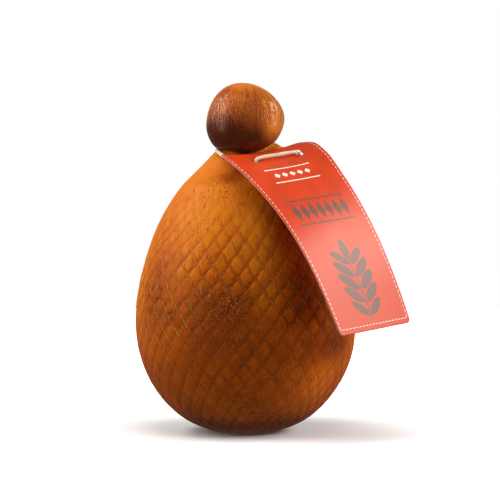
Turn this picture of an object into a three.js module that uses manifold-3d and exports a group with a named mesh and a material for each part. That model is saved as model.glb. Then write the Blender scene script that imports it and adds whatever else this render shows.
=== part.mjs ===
// A whole smoked caciocavallo: a pear of stretched curd marked by the net it hung in, with its round
// head, the twine tied in the neck and the stiff card tag threaded on the twine.
// Millimetres, +Z up, standing on z = 0; the front is -Y and the tag hangs towards +X.
import * as THREE from "three";
import { mergeVertices } from "three/addons/utils/BufferGeometryUtils.js";
import Module from "manifold-3d";

// Cheese outline: a superellipse bowl cut flat at the foot, a flank that closes upward, and the head.
const totalHeight = 239;
const bellyRadius = 75.3;
const bellyHeight = 75.5;
const footRadius = 19.6;
const bowlPower = 2.18;
const flankTop = 209.5;
const flankPower = 0.815;
const headRadius = 26.9;
const headHeight = 212.2;
const headDrop = 24;
const crownPower = 2;
const chinPower = 1.8;
const creaseRound = 1.6;
const headRows = 12;

// Neck: the groove the twine is drawn into, and how far the neck is set askew.
const grooveDepth = 2.75;
const grooveHalf = 2.4;
const grooveRuns = [-4.2, -3, -2.1, -1.2, 0, 1.2, 2.1, 3, 4.2];
const neckTilt = 7.9;
const neckNod = 22;
const nodBehind = 0.2;
const nodRound = 8;
const tiltFrom = 166;
const tiltTo = 225.6;

// Net marks: lozenges around and up the body, their depth, and the height where they fade out.
const meshesAround = 39;
const meshesUp = 15;
const netDepth = 0.7;
const netFadeFrom = 150;
const netFadeTo = 178;

// Twine and its knot at the back of the neck.
const twineRadius = 1.25;
const knotRadius = 2.4;
const knotTurns = 3;
const tailReach = 9;
const tailFall = 11.5;

// Tag: a card bent over the shoulder. Pitch is its fall below level and heading its compass
// direction from the front, each at the top, a middle control and the foot of the card.
const tagWidth = 74;
const tagLength = 157;
const tagThickness = 0.6;
const tagCorner = 3.5;
const tagTop = new THREE.Vector3(13, -17.8, 192.9);
const tagPitch = [19, 62.8, 67.3];
const tagHeading = [35.5, 54.7, 57.8];
const tagRoll = 9.4;
const tagBow = 4.6;
const tagSag = 1.4;
const tagBowLength = 70;
const tagHoleRadius = 2.75;
const tagHoles = [{ across: -15.5, down: 11.8 }, { across: 20, down: 13 }];

const gap = 0.35;
const degree = Math.PI / 180;
const { lerp, smoothstep } = THREE.MathUtils;

const wasm = await Module();
wasm.setup();

function solidOf(geometry) {
  const bare = geometry.clone();
  bare.deleteAttribute("normal");
  bare.deleteAttribute("uv");
  const merged = mergeVertices(bare, 1e-4);
  return new wasm.Manifold(new wasm.Mesh({
    numProp: 3,
    vertProperties: new Float32Array(merged.attributes.position.array),
    triVerts: new Uint32Array(merged.index.array),
  }));
}

function geometryOf(solid) {
  const mesh = solid.getMesh();
  const geometry = new THREE.BufferGeometry();
  geometry.setAttribute("position", new THREE.BufferAttribute(new Float32Array(mesh.vertProperties), 3));
  geometry.setIndex(new THREE.BufferAttribute(new Uint32Array(mesh.triVerts), 1));
  geometry.computeVertexNormals();
  return geometry;
}

function meshOf(name, geometry, color, roughness) {
  const mesh = new THREE.Mesh(geometry, new THREE.MeshStandardMaterial({ color, roughness }));
  mesh.name = name;
  return mesh;
}

// The bowl's superellipse runs a little below the floor, so the floor cuts the flat foot out of it.
const bowlDepth = bellyHeight / (1 - (footRadius / bellyRadius) ** bowlPower) ** (1 / bowlPower);

function bodyRadiusAt(z) {
  if (z <= bellyHeight) {
    return bellyRadius * (1 - ((bellyHeight - z) / bowlDepth) ** bowlPower) ** (1 / bowlPower);
  }
  const rise = Math.min(1, (z - bellyHeight) / (flankTop - bellyHeight));
  return bellyRadius * (1 - rise ** 2) ** flankPower;
}

function headRadiusAt(z) {
  const above = z > headHeight;
  const extent = above ? totalHeight - headHeight : headDrop;
  const power = above ? crownPower : chinPower;
  const reach = Math.min(1, Math.abs(z - headHeight) / extent);
  return headRadius * (1 - reach ** power) ** (1 / power);
}

function findCrease() {
  let low = headHeight - headDrop;
  let high = flankTop;
  for (let k = 0; k < 50; k++) {
    const middle = (low + high) / 2;
    if (bodyRadiusAt(middle) > headRadiusAt(middle)) low = middle; else high = middle;
  }
  return low;
}

const creaseHeight = findCrease();

function outlineRadiusAt(z) {
  const body = bodyRadiusAt(z);
  const head = headRadiusAt(z);
  const round = creaseRound * Math.exp(-(((z - creaseHeight) / 5) ** 2));
  const groove = grooveDepth * Math.exp(-(((z - creaseHeight) / grooveHalf) ** 4));
  return (body + head + Math.hypot(body - head, round)) / 2 - groove;
}

// The outline from the foot to the crown, with the distance run along it.
const outline = [];
for (let k = 0; k <= 3000; k++) {
  const z = totalHeight * (1 - Math.cos(Math.PI * k / 3000)) / 2;
  const point = new THREE.Vector2(outlineRadiusAt(z), z);
  const run = k ? outline[k - 1].run + point.distanceTo(outline[k - 1].point) : 0;
  outline.push({ point, run });
}

function outlineAt(run) {
  const next = Math.max(1, outline.findIndex((sample) => sample.run >= run));
  const a = outline[next - 1];
  const b = outline[next];
  return a.point.clone().lerp(b.point, (run - a.run) / (b.run - a.run));
}

// The neck is set askew, right side up and front down: height gains with x and y, most at the crease.
// Both ease in from the shoulder and out over the head as a cosine, which tips the crown back a little;
// the gain with x also fades towards the front, by the squared cosine of the bearing, and the gain with
// y is less behind: a rounded lesser of y and a part of y.
function leaned(point) {
  const over = Math.max(0, point.z - creaseHeight) / (tiltTo - creaseHeight);
  const front = Math.max(0, -point.y) ** 2 / (point.x ** 2 + point.y ** 2 + 1);
  const tip = point.x * Math.tan(neckTilt * degree) * Math.cos(Math.PI / 2 * over) * (1 - front);
  const back = Math.hypot(point.y, nodRound) - nodRound;
  const ahead = ((1 + nodBehind) * point.y - (1 - nodBehind) * back) / 2;
  const nod = ahead * Math.tan(neckNod * degree) * Math.cos(Math.PI / 2 * Math.min(1, over));
  point.z += (tip + nod) * smoothstep(point.z, tiltFrom, creaseHeight);
  return point;
}

// Fills a flat ring of points by halving arcs, so that one large triangle covers its middle.
function capTriangles(first, last, triangles) {
  const middle = (first + last) >> 1;
  if (middle === first) return triangles;
  triangles.push([first, last, middle]);
  capTriangles(first, middle, triangles);
  return capTriangles(middle, last, triangles);
}

// Revolved outline with two columns and two rows to a mesh of the net. Every second point is a
// crossing of the net and is pressed in; each square is split along the cord that crosses it.
function cheeseGeometry() {
  const columns = 2 * meshesAround;
  const bodyRows = 2 * meshesUp;
  const creaseRun = outline.find((sample) => sample.point.y >= creaseHeight).run;
  const fullRun = outline[outline.length - 1].run;
  const points = [];
  for (let row = 0; row < bodyRows; row++) points.push(outlineAt(creaseRun * row / bodyRows));
  for (const beside of grooveRuns) points.push(outlineAt(creaseRun + beside));
  const headStart = creaseRun + grooveRuns[grooveRuns.length - 1];
  for (let row = 1; row < headRows; row++) {
    points.push(outlineAt(lerp(headStart, fullRun, row / headRows)));
  }
  points.push(new THREE.Vector2(0, totalHeight));
  points[0].set(footRadius, 0);
  const geometry = new THREE.LatheGeometry(points, columns).rotateX(Math.PI / 2);
  const position = geometry.attributes.position;
  const place = new THREE.Vector3();
  for (let column = 0; column <= columns; column++) {
    for (let row = 0; row < points.length; row++) {
      const index = column * points.length + row;
      place.fromBufferAttribute(position, index);
      if (row > 0 && row < bodyRows && (column + row) % 2 === 0) {
        const slope = points[row + 1].clone().sub(points[row - 1]).normalize();
        const z = points[row].y;
        const depth = netDepth * (1 - smoothstep(z, netFadeFrom, netFadeTo));
        const turn = 2 * Math.PI * column / columns;
        place.x -= depth * slope.y * Math.sin(turn);
        place.y += depth * slope.y * Math.cos(turn);
        place.z += depth * slope.x;
      }
      leaned(place);
      position.setXYZ(index, place.x, place.y, place.z);
    }
  }
  const index = [];
  for (let column = 0; column < columns; column++) {
    for (let row = 0; row < points.length - 1; row++) {
      const a = column * points.length + row;
      const b = a + points.length;
      const [c, d] = [b + 1, a + 1];
      if ((column + row) % 2 === 0) index.push(a, b, c, a, c, d); else index.push(a, b, d, c, d, b);
    }
  }
  const third = columns / 3;
  const cap = [[0, 2 * third, third]];
  for (let side = 0; side < 3; side++) capTriangles(side * third, (side + 1) * third, cap);
  for (const triangle of cap) index.push(...triangle.map((column) => (column % columns) * points.length));
  geometry.setIndex(index);
  return geometry;
}

function bezier(controls, t) {
  return controls[0] * (1 - t) ** 2 + 2 * controls[1] * t * (1 - t) + controls[2] * t ** 2;
}

// Directions of the card at a distance down it: along, across and out of its printed face.
function tagFrame(down) {
  const t = THREE.MathUtils.clamp(down / tagLength, 0, 1);
  const pitch = bezier(tagPitch, t) * degree;
  const heading = bezier(tagHeading, t) * degree;
  const roll = tagRoll * degree;
  const [sp, cp, sh, ch] = [Math.sin(pitch), Math.cos(pitch), Math.sin(heading), Math.cos(heading)];
  const level = new THREE.Vector3(ch, sh, 0);
  const lift = new THREE.Vector3(sp * sh, -sp * ch, cp);
  return {
    along: new THREE.Vector3(cp * sh, -cp * ch, -sp),
    across: level.clone().multiplyScalar(Math.cos(roll)).addScaledVector(lift, Math.sin(roll)),
    out: lift.clone().multiplyScalar(Math.cos(roll)).addScaledVector(level, -Math.sin(roll)),
  };
}

// The card's middle line, walked from its top edge in one-millimetre steps.
const tagSpine = [tagTop.clone()];
for (let down = 0; down < tagLength; down++) {
  tagSpine.push(tagSpine[down].clone().addScaledVector(tagFrame(down + 0.5).along, 1));
}

function tagPoint(across, down, out) {
  const frame = tagFrame(down);
  const step = Math.min(tagLength - 1, Math.max(0, Math.floor(down)));
  const point = tagSpine[step].clone().addScaledVector(frame.along, down - step);
  const ease = Math.max(0, 1 - Math.max(0, down) / tagBowLength) ** 2;
  const bow = (tagBow * (2 * across / tagWidth) ** 2 - tagSag) * ease;
  return point.addScaledVector(frame.across, across).addScaledVector(frame.out, bow + out);
}

// Bends flat work (x across, y up from the card's middle, z out of its face) onto the card's surface.
function bent(geometry) {
  const position = geometry.attributes.position;
  for (let k = 0; k < position.count; k++) {
    const point = tagPoint(position.getX(k), tagLength / 2 - position.getY(k), position.getZ(k));
    position.setXYZ(k, point.x, point.y, point.z);
  }
  return geometry;
}

function cornerCutter(quarter) {
  const shape = new THREE.Shape();
  shape.moveTo(-tagCorner, 0);
  shape.absarc(-tagCorner, -tagCorner, tagCorner, Math.PI / 2, 0, true);
  shape.lineTo(1, -tagCorner).lineTo(1, 1).lineTo(-tagCorner, 1);
  const cutter = new THREE.ExtrudeGeometry(shape, { depth: 4, bevelEnabled: false, curveSegments: 6 });
  cutter.translate(0, 0, -2).rotateZ(quarter * Math.PI / 2);
  const sideX = quarter === 0 || quarter === 3 ? 1 : -1;
  const sideY = quarter < 2 ? 1 : -1;
  return cutter.translate(sideX * tagWidth / 2, sideY * tagLength / 2, 0);
}

function tagGeometry() {
  let card = solidOf(bent(new THREE.BoxGeometry(tagWidth, tagLength, tagThickness, 10, 24, 1)));
  for (let quarter = 0; quarter < 4; quarter++) card = card.subtract(solidOf(bent(cornerCutter(quarter))));
  for (const hole of tagHoles) {
    const cutter = new THREE.CylinderGeometry(tagHoleRadius, tagHoleRadius, 4, 20).rotateX(Math.PI / 2);
    card = card.subtract(solidOf(bent(cutter.translate(hole.across, tagLength / 2 - hole.down, 0))));
  }
  return geometryOf(card);
}

// The smallest ring, in the plane of the crease, that lies clear of both head and shoulder.
function seatRadius() {
  const seat = new THREE.Vector2(outlineRadiusAt(creaseHeight), creaseHeight);
  while (outline.some((sample) => sample.point.distanceTo(seat) < twineRadius + 2 * gap)) seat.x += 0.05;
  return seat.x;
}

function neckPoint(azimuth, radius, below = 0) {
  const turn = azimuth * degree;
  return leaned(new THREE.Vector3(radius * Math.sin(turn), -radius * Math.cos(turn), creaseHeight - below));
}

function twineAlong(points, steps) {
  const shape = new THREE.Shape().absarc(0, 0, twineRadius, 0, 2 * Math.PI, false);
  const extrudePath = new THREE.CatmullRomCurve3(points, false, "centripetal");
  const options = { steps, extrudePath, bevelEnabled: false, curveSegments: 4 };
  return solidOf(new THREE.ExtrudeGeometry(shape, options));
}

// From the knot round the left of the neck in the groove, under the card, up through one hole, over its
// face, down through the other hole and back over the right shoulder to the knot again.
function twineGeometry() {
  const seat = seatRadius();
  const meet = 44;
  const knot = neckPoint(180, seat / Math.cos(meet * degree));
  const beside = (shift) => knot.clone().add(new THREE.Vector3(shift, 0, 0));
  const [first, second] = tagHoles;
  const face = tagThickness / 2 + gap + twineRadius;
  const loop = [
    beside(-1.2),
    ...[meet - 180, -108, -86].map((azimuth) => neckPoint(azimuth, seat)),
    neckPoint(-66, seat + 0.5),
    tagPoint(-28, -1, -face - 1.2),
    tagPoint(first.across - 4.2, first.down - 1.5, -face - 1),
    tagPoint(first.across - 0.6, first.down, -1.2),
    tagPoint(first.across + 0.6, first.down, 1.2),
    tagPoint(first.across + 3.8, first.down, face + 0.2),
    tagPoint((first.across + second.across) / 2, (first.down + second.down) / 2, face + 0.7),
    tagPoint(second.across - 3.8, second.down, face + 0.2),
    tagPoint(second.across - 0.6, second.down, 1.2),
    tagPoint(second.across + 0.5, second.down - 0.2, -1.3),
    tagPoint(second.across + 0.6, second.down - 3.6, -face - 1.6),
    neckPoint(88, seat + 14, 11.6),
    neckPoint(106, seat + 12, 9.6),
    neckPoint(127, seat + 7.2, 5.2),
    neckPoint(180 - meet, seat + 4.2, 2.6),
    beside(1.2),
  ];
  let twine = twineAlong(loop, 80);
  const pitch = 1.9 * twineRadius;
  const core = new THREE.CylinderGeometry(knotRadius - 0.1, knotRadius - 0.1, pitch * knotTurns, 16);
  twine = twine.add(solidOf(core.rotateZ(Math.PI / 2).translate(knot.x, knot.y, knot.z)));
  for (let turn = 0; turn < knotTurns; turn++) {
    const coil = new THREE.TorusGeometry(knotRadius, twineRadius, 8, 18).rotateY(Math.PI / 2);
    const place = beside((turn - (knotTurns - 1) / 2) * pitch);
    twine = twine.add(solidOf(coil.translate(place.x, place.y, place.z)));
  }
  for (const side of [-1, 1]) {
    const bend = [[1, 0, 0], [5.5, 0.05, 0.05], [7, 0.5, 0.55], [6.5, 1, 1]];
    const tail = bend.map(([x, out, fall]) => [side * x, out * tailReach, -fall * tailFall]);
    twine = twine.add(twineAlong(tail.map((step) => knot.clone().add(new THREE.Vector3(...step))), 12));
  }
  return geometryOf(twine);
}

const part = new THREE.Group();
part.add(meshOf("cheese", cheeseGeometry(), 0xb26a1c, 0.45));
part.add(meshOf("twine", twineGeometry(), 0xdcc7a2, 0.9));
part.add(meshOf("tag", tagGeometry(), 0xe2512f, 0.5));
export default part;
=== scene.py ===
import bpy
import numpy as np
from functools import partialmethod, reduce
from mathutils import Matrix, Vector
from operator import or_


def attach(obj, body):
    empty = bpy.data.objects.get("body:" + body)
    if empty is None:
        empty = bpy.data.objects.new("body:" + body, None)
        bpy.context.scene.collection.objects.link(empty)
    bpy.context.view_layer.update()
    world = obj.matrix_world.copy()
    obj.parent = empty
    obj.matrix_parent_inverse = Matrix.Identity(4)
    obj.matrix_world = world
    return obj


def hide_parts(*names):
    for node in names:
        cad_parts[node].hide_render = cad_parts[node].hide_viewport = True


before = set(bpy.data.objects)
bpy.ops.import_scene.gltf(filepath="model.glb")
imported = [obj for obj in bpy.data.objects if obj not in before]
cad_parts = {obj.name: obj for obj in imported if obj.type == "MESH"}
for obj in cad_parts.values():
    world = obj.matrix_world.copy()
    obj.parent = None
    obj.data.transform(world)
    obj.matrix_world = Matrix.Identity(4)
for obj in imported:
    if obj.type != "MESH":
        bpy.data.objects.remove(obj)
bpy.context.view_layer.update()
scene = bpy.context.scene
mm = 0.001
degree = np.pi / 180
print("frame loaded:", sorted(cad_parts))

# camera: where it looks and from how far, in millimetres, and the picture's width at that distance
cameraSet = dict(
    aim=(3.0, 0.0, 124.55), elevation=2.5, distance=1500.0, pictureWidth=343.4, sensor=36.0, farthest=50.0,
)

# studio: soft boxes by compass turn from the front, rise above level, distance, size (mm) and power
studioSet = dict(
    aim=(0.0, 0.0, 115.0),
    boxes=dict(
        leftBox=dict(turn=-78, rise=24, size=(340, 700), power=5.2),
        leftHigh=dict(turn=-108, rise=46, size=(380, 300), power=3.0),
        leftGloss=dict(turn=-104, rise=28, size=(380, 380), power=3.2, lights=False, warm=0.6),
        rightBox=dict(turn=98, rise=22, size=(360, 520), power=5.2, mirrored=False),
        rightGloss=dict(turn=107, rise=34, size=(270, 280), power=2.7, lights=False, warm=0.3),
        sideGloss=dict(turn=86, rise=15, size=(190, 300), power=2.4, lights=False, warm=0.4),
        rightKey=dict(turn=64, rise=24, away=1000, size=(300, 300), power=3.3, mirrored=False),
        lowFill=dict(turn=50, rise=-3, size=(500, 110), power=1.2, mirrored=False),
        topFill=dict(turn=-10, rise=68, away=1100, size=(600, 600), power=5.2, mirrored=False),
    ),
    warmGreen=0.5, warmBlue=0.8, ambient=0.19, backdrop=1.0,
    floorSize=2400.0, floorColors=((0.93, 0.93, 0.93, 1), (0.91605, 0.91605, 0.91605, 1)),
    floorLumps=400.0, floorRoughness=0.9, floorGlow=(0.03, 0.32),
)

# cheese outline: a superellipse bowl cut flat at the foot, a flank that closes upward, and the head
cheeseForm = dict(
    height=239.0, bellyRadius=75.3, bellyHeight=75.5, footRadius=19.6, bowlPower=2.18,
    flankTop=209.5, flankPower=0.815, headRadius=26.9, headHeight=212.2, headDrop=24.0,
    crownPower=2.0, chinPower=1.8, creaseRound=1.6, creaseReach=5.0, grooveDepth=2.75, grooveHalf=2.4,
    neckTilt=7.9, neckNod=22.0, nodBehind=0.2, nodRound=8.0, tiltFrom=166.0, tiltTo=225.6,
    meshesAround=39, meshesUp=15, stepsPerMesh=10, outlineSteps=6001, slopeStep=0.4,
    bodyRows=150, grooveRows=22, grooveReach=6.0, headRows=56, footRings=4,
)

# net marks: pillow height and cord groove (mm), how the rows tilt and wander, and where the marks fade out;
# waves are a count, the most turns round and the range of lengths (mm)
netMarks = dict(
    pillow=0.7, groove=0.12, grooveWidth=1.0, fallingGroove=0.75, tilt=0.044,
    wander=0.55, wanderWaves=(7, 6, (45, 160)), footEase=26.0, neckEase=40.0,
    turnRadius=8.0, lineRadius=12.0,
    fadeSpan=(126.0, 172.0), faintest=0.1, strongSpan=(50.0, 94.0), lowShare=0.74,
    footClear=(0.5, 5.0), neckClear=(-18.0, -4.0),
    patchWaves=(9, 7, (35, 120)), patchMiddle=0.85, patchSwing=0.35, patchLimits=(0.3, 1.3),
    seamHalf=0.058, seamWander=0.2, shakeSize=7.0, seamPower=0.6, seamLeast=0.22,
    shadeOff=0.08, shadeHalf=0.07, cellEdge=0.18,
)

# skin: hand-formed unevenness, folds on the head, a swell against the twine at the left of the neck, and soft
# patches of bright seams, pores, dry roughness and clouds; the clouds are partly stain and partly painted
# light:
# painted shadow of the card and under the head, painted shade at the foot, and painted light on the head's
# rims and crown and low on the right; each swell and patch is azimuth (degrees), height (mm, a swell's from
# the crease), width, tallness and amount
skinMarks = dict(
    uneven=0.35, unevenWaves=(10, 5, (60, 190)), unevenFrom=(0, 14), unevenTo=(226, 239),
    swells=[(-90, 0, 28.648, 2.6, 1.3)],
    fold=0.26, foldCount=26, foldWide=(0.9, 2.0), foldReach=(205, 219), foldEase=(4, 6),
    foldBend=0.25, bendLevel=225, bendTall=25, foldShare=(0.5, 1.0), foldMost=1.4,
    foldRadius=4.0, foldFrom=(204, 216), foldTo=(233, 238.5),
    headEdge=(-1.0, 3.0), roughWaves=(12, 60, (7, 16)), roughShare=0.6, roughFlat=0.6,
    seamPlaces=[
        (-48, 92, 22, 52, 1.1), (22, 118, 18, 34, 0.8), (40, 40, 20, 20, 0.5), (-150, 80, 40, 60, 0.9)],
    poreClusters=[
        (-24, 167, 18, 8, 0.9), (-34, 142, 9, 9, 0.5), (24, 130, 16, 30, 0.06), (150, 110, 60, 60, 0.3)],
    roughPatches=[
        (-8, 92, 13, 11, 1.0), (4, 22, 14, 9, 0.6), (-10, 34, 12, 9, 0.5), (-42, 84, 5, 5, 1.0),
        (170, 70, 20, 16, 1.0)],
    # clouds: stain together with painted shadow, painted shade and painted light; a positive amount darkens,
    # a negative one lightens
    stainAndPaintedLight=[
        (-16, 90, 18, 30, 0.34), (10, 146, 10, 16, -0.3), (-30, 158, 16, 18, -0.16), (44, 30, 22, 16, -0.3),
        (34, 84, 14, 22, 0.3), (-2, 24, 40, 14, -0.3), (-54, 100, 12, 28, 0.3), (0, 2, 400, 8, 0.75),
        (54, 66, 12, 12, 0.4), (2, 193, 26, 6, 0.8), (-17, 180, 16, 8, 0.36), (160, 80, 40, 50, 0.15),
        (-130, 120, 30, 40, -0.1), (-78, 90, 18, 60, -0.14), (-98, 215, 24, 14, -0.5),
        (96, 214, 26, 16, -0.5), (-28, 34, 24, 18, -0.14), (6, 46, 18, 14, -0.08), (10, 88, 8, 14, -0.12),
        (36, 79, 7, 7, -0.18), (4, 14, 18, 7, -0.16), (-52, 90, 8, 8, 0.12), (28, 102, 7, 13, 0.2),
        (0, 244, 400, 7, -0.45), (78, 222, 26, 14, -0.35), (42, 209, 16, 11, -0.22),
        (50, 46, 15, 12, -0.16), (-8, 88, 9, 9, 0.14)],
)

# twine and the knot behind the neck; a lump is a share of the radius and a length (mm)
twineForm = dict(
    radius=1.25, seatGap=0.7, seatStep=0.05, gap=0.35, plies=3, twistLength=6.5,
    around=24, step=0.45, pathSteps=40, core=0.76, lobePower=0.7, lumps=((0.05, 2.3), (0.04, 5.1)),
    knotRadius=2.4, knotTurns=3.2, knotPitch=2.375, knotSteps=60,
    tail=((5.5, 0.45, -0.575), (7.0, 4.5, -6.325), (6.5, 9.0, -11.5)), meet=44.0,
)

# card tag: size, bend (pitch below level and heading from the front at top, middle control and foot), and
# its dent, waviness and curled corner
tagForm = dict(
    width=74.0, length=157.0, thickness=0.6, corner=3.5, top=(13.0, -17.8, 192.9),
    pitch=(19.0, 62.8, 67.3), heading=(35.5, 54.7, 57.8), roll=9.4, bow=4.6, sag=1.4, bowLength=70.0,
    holeRadius=2.75, holes=((-15.5, 11.8), (20.0, 13.0)), columns=120, rows=254, holeBlock=4, holeBlend=5,
    dent=0.8, dentEnd=(6.0, 21.0), dentHalf=3.2, dentFrom=(4, 14),
    wave=0.25, waveDown=19.0, waveAcross=17.0, waveFrom=(20, 60),
    curl=2.6, curlWide=7.0, curlTall=6.0, lift=1.2, liftDown=24.0, liftReach=12.0,
)


def smoothStep(x, low, high):
    t = np.clip((x - low) / (high - low), 0, 1)
    return t * t * (3 - 2 * t)


def addObject(data):
    made = bpy.data.objects.new(data.name, data)
    scene.collection.objects.link(made)
    return made


def addPiece(mesh, nodeName):
    piece = addObject(mesh)
    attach(piece, "root")
    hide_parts(nodeName)
    return piece


# puts a grid of points (rows upward, columns round, in mm) into a mesh: every cell is one quad, the last
# column joins the first, and a pole is one point fanned to its end row
def closedGridMesh(name, points, lowPole, highPole):
    rows, columns = points.shape[:2]
    index = np.arange(rows * columns).reshape(rows, columns)
    after = np.roll(index, -1, axis=1)
    quads = np.stack([index[:-1], after[:-1], after[1:], index[1:]], -1).reshape(-1, 4)
    low = np.full(columns, rows * columns)
    fanLow = np.stack([low, after[0], index[0]], -1)
    fanHigh = np.stack([low + 1, index[-1], after[-1]], -1)
    corners = np.concatenate([points.reshape(-1, 3), [lowPole], [highPole]]) * mm
    mesh = bpy.data.meshes.new(name)
    mesh.from_pydata(corners.tolist(), [], quads.tolist() + fanLow.tolist() + fanHigh.tolist())
    mesh.shade_smooth()
    return mesh


# unrolls a closed grid: u runs once round, v is each row's value, with 0 and 1 at the two poles
def setUnrolled(mesh, name, rowValues, columns):
    left = np.arange(columns)
    across = np.stack([left, left + 1, left + 1, left], -1) / columns
    below, above = rowValues[:-1], rowValues[1:]
    u = np.broadcast_to(across, (len(below), columns, 4))
    v = np.broadcast_to(np.stack([below, below, above, above], -1)[:, None], u.shape)
    flat = [np.stack([u, v], -1).reshape(-1, 2)]
    for pole, row, first, second in ((0, rowValues[0], 1, 0), (1, rowValues[-1], 0, 1)):
        u = np.stack([left + 0.5, left + first, left + second], -1) / columns
        flat.append(np.stack([u, np.broadcast_to((pole, row, row), u.shape)], -1).reshape(-1, 2))
    layer = mesh.uv_layers.new(name=name)
    layer.data.foreach_set("uv", np.concatenate(flat).astype(np.float32).ravel())


# gives a closed grid's points an attribute, 0 at the two poles
def setPointAttribute(mesh, name, values):
    layer = mesh.attributes.new(name, "FLOAT", "POINT")
    layer.data.foreach_set("value", np.append(values, [0, 0]).astype(np.float32))


# body radius: r = R (1 - d^n)^(1/n) below the belly, r = R (1 - t^2)^p above it
def bodyRadius(z):
    f = cheeseForm
    belly, n = f["bellyHeight"], f["bowlPower"]
    bowlDepth = belly / (1 - (f["footRadius"] / f["bellyRadius"]) ** n) ** (1 / n)
    drop = np.clip((belly - z) / bowlDepth, 0, 1)
    rise = np.clip((z - belly) / (f["flankTop"] - belly), 0, 1)
    bowl = (1 - drop ** n) ** (1 / n)
    flank = (1 - rise ** 2) ** f["flankPower"]
    return f["bellyRadius"] * np.where(z <= belly, bowl, flank)


# head radius: a superellipse, fuller below its widest level than above it
def headRadius(z):
    f = cheeseForm
    above = z > f["headHeight"]
    extent = np.where(above, f["height"] - f["headHeight"], f["headDrop"])
    power = np.where(above, f["crownPower"], f["chinPower"])
    reach = np.clip(np.abs(z - f["headHeight"]) / extent, 0, 1)
    return f["headRadius"] * (1 - reach ** power) ** (1 / power)


# crease: the level where shoulder and head are equally wide, found by halving
def findCrease():
    low, high = cheeseForm["headHeight"] - cheeseForm["headDrop"], cheeseForm["flankTop"]
    for _ in range(50):
        middle = (low + high) / 2
        low, high = (middle, high) if bodyRadius(middle) > headRadius(middle) else (low, middle)
    return low


creaseHeight = findCrease()


# outline: the larger of body and head with a rounded crease, less the groove the twine is drawn into, and
# the distance run along it from the foot
def outlineTable():
    f = cheeseForm
    z = f["height"] * (1 - np.cos(np.linspace(0, np.pi, f["outlineSteps"]))) / 2
    body, head = bodyRadius(z), headRadius(z)
    rounding = f["creaseRound"] * np.exp(-((z - creaseHeight) / f["creaseReach"]) ** 2)
    groove = f["grooveDepth"] * np.exp(-((z - creaseHeight) / f["grooveHalf"]) ** 4)
    r = (body + head + np.hypot(body - head, rounding)) / 2 - groove
    run = np.append(0, np.cumsum(np.hypot(np.diff(r), np.diff(z))))
    return run, r, z


outlineRun, outlineR, outlineZ = outlineTable()
creaseRun = np.interp(creaseHeight, outlineZ, outlineRun)
wholeRun = cheeseForm["footRadius"] + outlineRun[-1]


def outlineAt(run):
    return np.interp(run, outlineRun, outlineR), np.interp(run, outlineRun, outlineZ)


# outward direction of the outline, square to its slope over a short way
def outlineOut(run):
    step = cheeseForm["slopeStep"]
    aheadR, aheadZ = outlineAt(np.minimum(run + step, outlineRun[-1]))
    behindR, behindZ = outlineAt(np.maximum(run - step, 0))
    slopeR, slopeZ = aheadR - behindR, aheadZ - behindZ
    length = np.hypot(slopeR, slopeZ)
    return slopeZ / length, -slopeR / length


# lean: height gains with x and y, most at the crease, so the neck stands right side up and front down; both
# ease in from the shoulder and out above as a cosine; the sideways one fades towards the front by the squared
# cosine of the bearing, and the forward one takes a rounded lesser of y and a part of y
def leaned(points):
    f = cheeseForm
    x, y, z = np.moveaxis(points, -1, 0)
    over = np.maximum(0, z - creaseHeight) / (f["tiltTo"] - creaseHeight)
    front = np.maximum(0, -y) ** 2 / (x ** 2 + y ** 2 + 1)
    tip = x * np.tan(f["neckTilt"] * degree) * np.cos(np.pi / 2 * over) * (1 - front)
    back = np.hypot(y, f["nodRound"]) - f["nodRound"]
    ahead = ((1 + f["nodBehind"]) * y - (1 - f["nodBehind"]) * back) / 2
    nod = ahead * np.tan(f["neckNod"] * degree) * np.cos(np.pi / 2 * np.minimum(1, over))
    moved = points.copy()
    moved[..., 2] = z + (tip + nod) * smoothStep(z, f["tiltFrom"], creaseHeight)
    return moved


# waves: a sum of sines round and up the cheese with seeded phases, about -1 to 1
def waves(rng, azimuth, run, count, roundMost, lengths):
    total = np.zeros(np.broadcast(azimuth, run).shape)
    for _ in range(count):
        m = rng.integers(-roundMost, roundMost + 1)
        q = 2 * np.pi / rng.uniform(*lengths) * rng.choice([-1, 1])
        total += np.sin(m * azimuth + q * run + rng.uniform(0, 2 * np.pi))
    return total / np.sqrt(count)


# net relief: lozenges between the lines a+b and a-b whole, where a counts meshes round and b counts them up;
# each lozenge is a pillow and each line a narrow groove of bell section
def netRelief(a, b, radius, pitch):
    slope = np.hypot(cheeseForm["meshesAround"] / (2 * np.pi * radius), 1 / pitch)
    pillow, lines = 1, []
    for count in (a + b, a - b):
        off = count - np.round(count)
        pillow = pillow * (1 - (1 - 2 * np.abs(off)) ** 4)
        lines.append(np.exp(-(off / slope / netMarks["grooveWidth"]) ** 2))
    return pillow, *lines


def wrapped(angle):
    return (angle + np.pi) % (2 * np.pi) - np.pi


# patches: a sum of soft bells, each at a bearing and height with a width, a tallness and an amount
def strengthOf(azimuth, z, places):
    total = np.zeros(np.broadcast(azimuth, z).shape)
    for az, height, wide, tall, amount in places:
        aside, above = wrapped(azimuth - az * degree) / (wide * degree), (z - height) / tall
        total += amount * np.exp(-aside ** 2 - above ** 2)
    return total


# folds: narrow wrinkles that fan down the head, each at its own bearing, width, reach and bend
def headFolds(rng, azimuth, z, radius):
    s = skinMarks
    total = np.zeros_like(z)
    before, after = s["foldEase"]
    for _ in range(s["foldCount"]):
        centre = rng.uniform(-np.pi, np.pi)
        wide = rng.uniform(*s["foldWide"])
        reach = rng.uniform(*s["foldReach"])
        bend = rng.uniform(-s["foldBend"], s["foldBend"]) * (z - s["bendLevel"]) / s["bendTall"]
        across = wrapped(azimuth - centre - bend) * np.maximum(radius, s["foldRadius"])
        bell = np.exp(-(across / wide) ** 2) * smoothStep(z, reach - before, reach + after)
        total += rng.uniform(*s["foldShare"]) * bell
    return total


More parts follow.
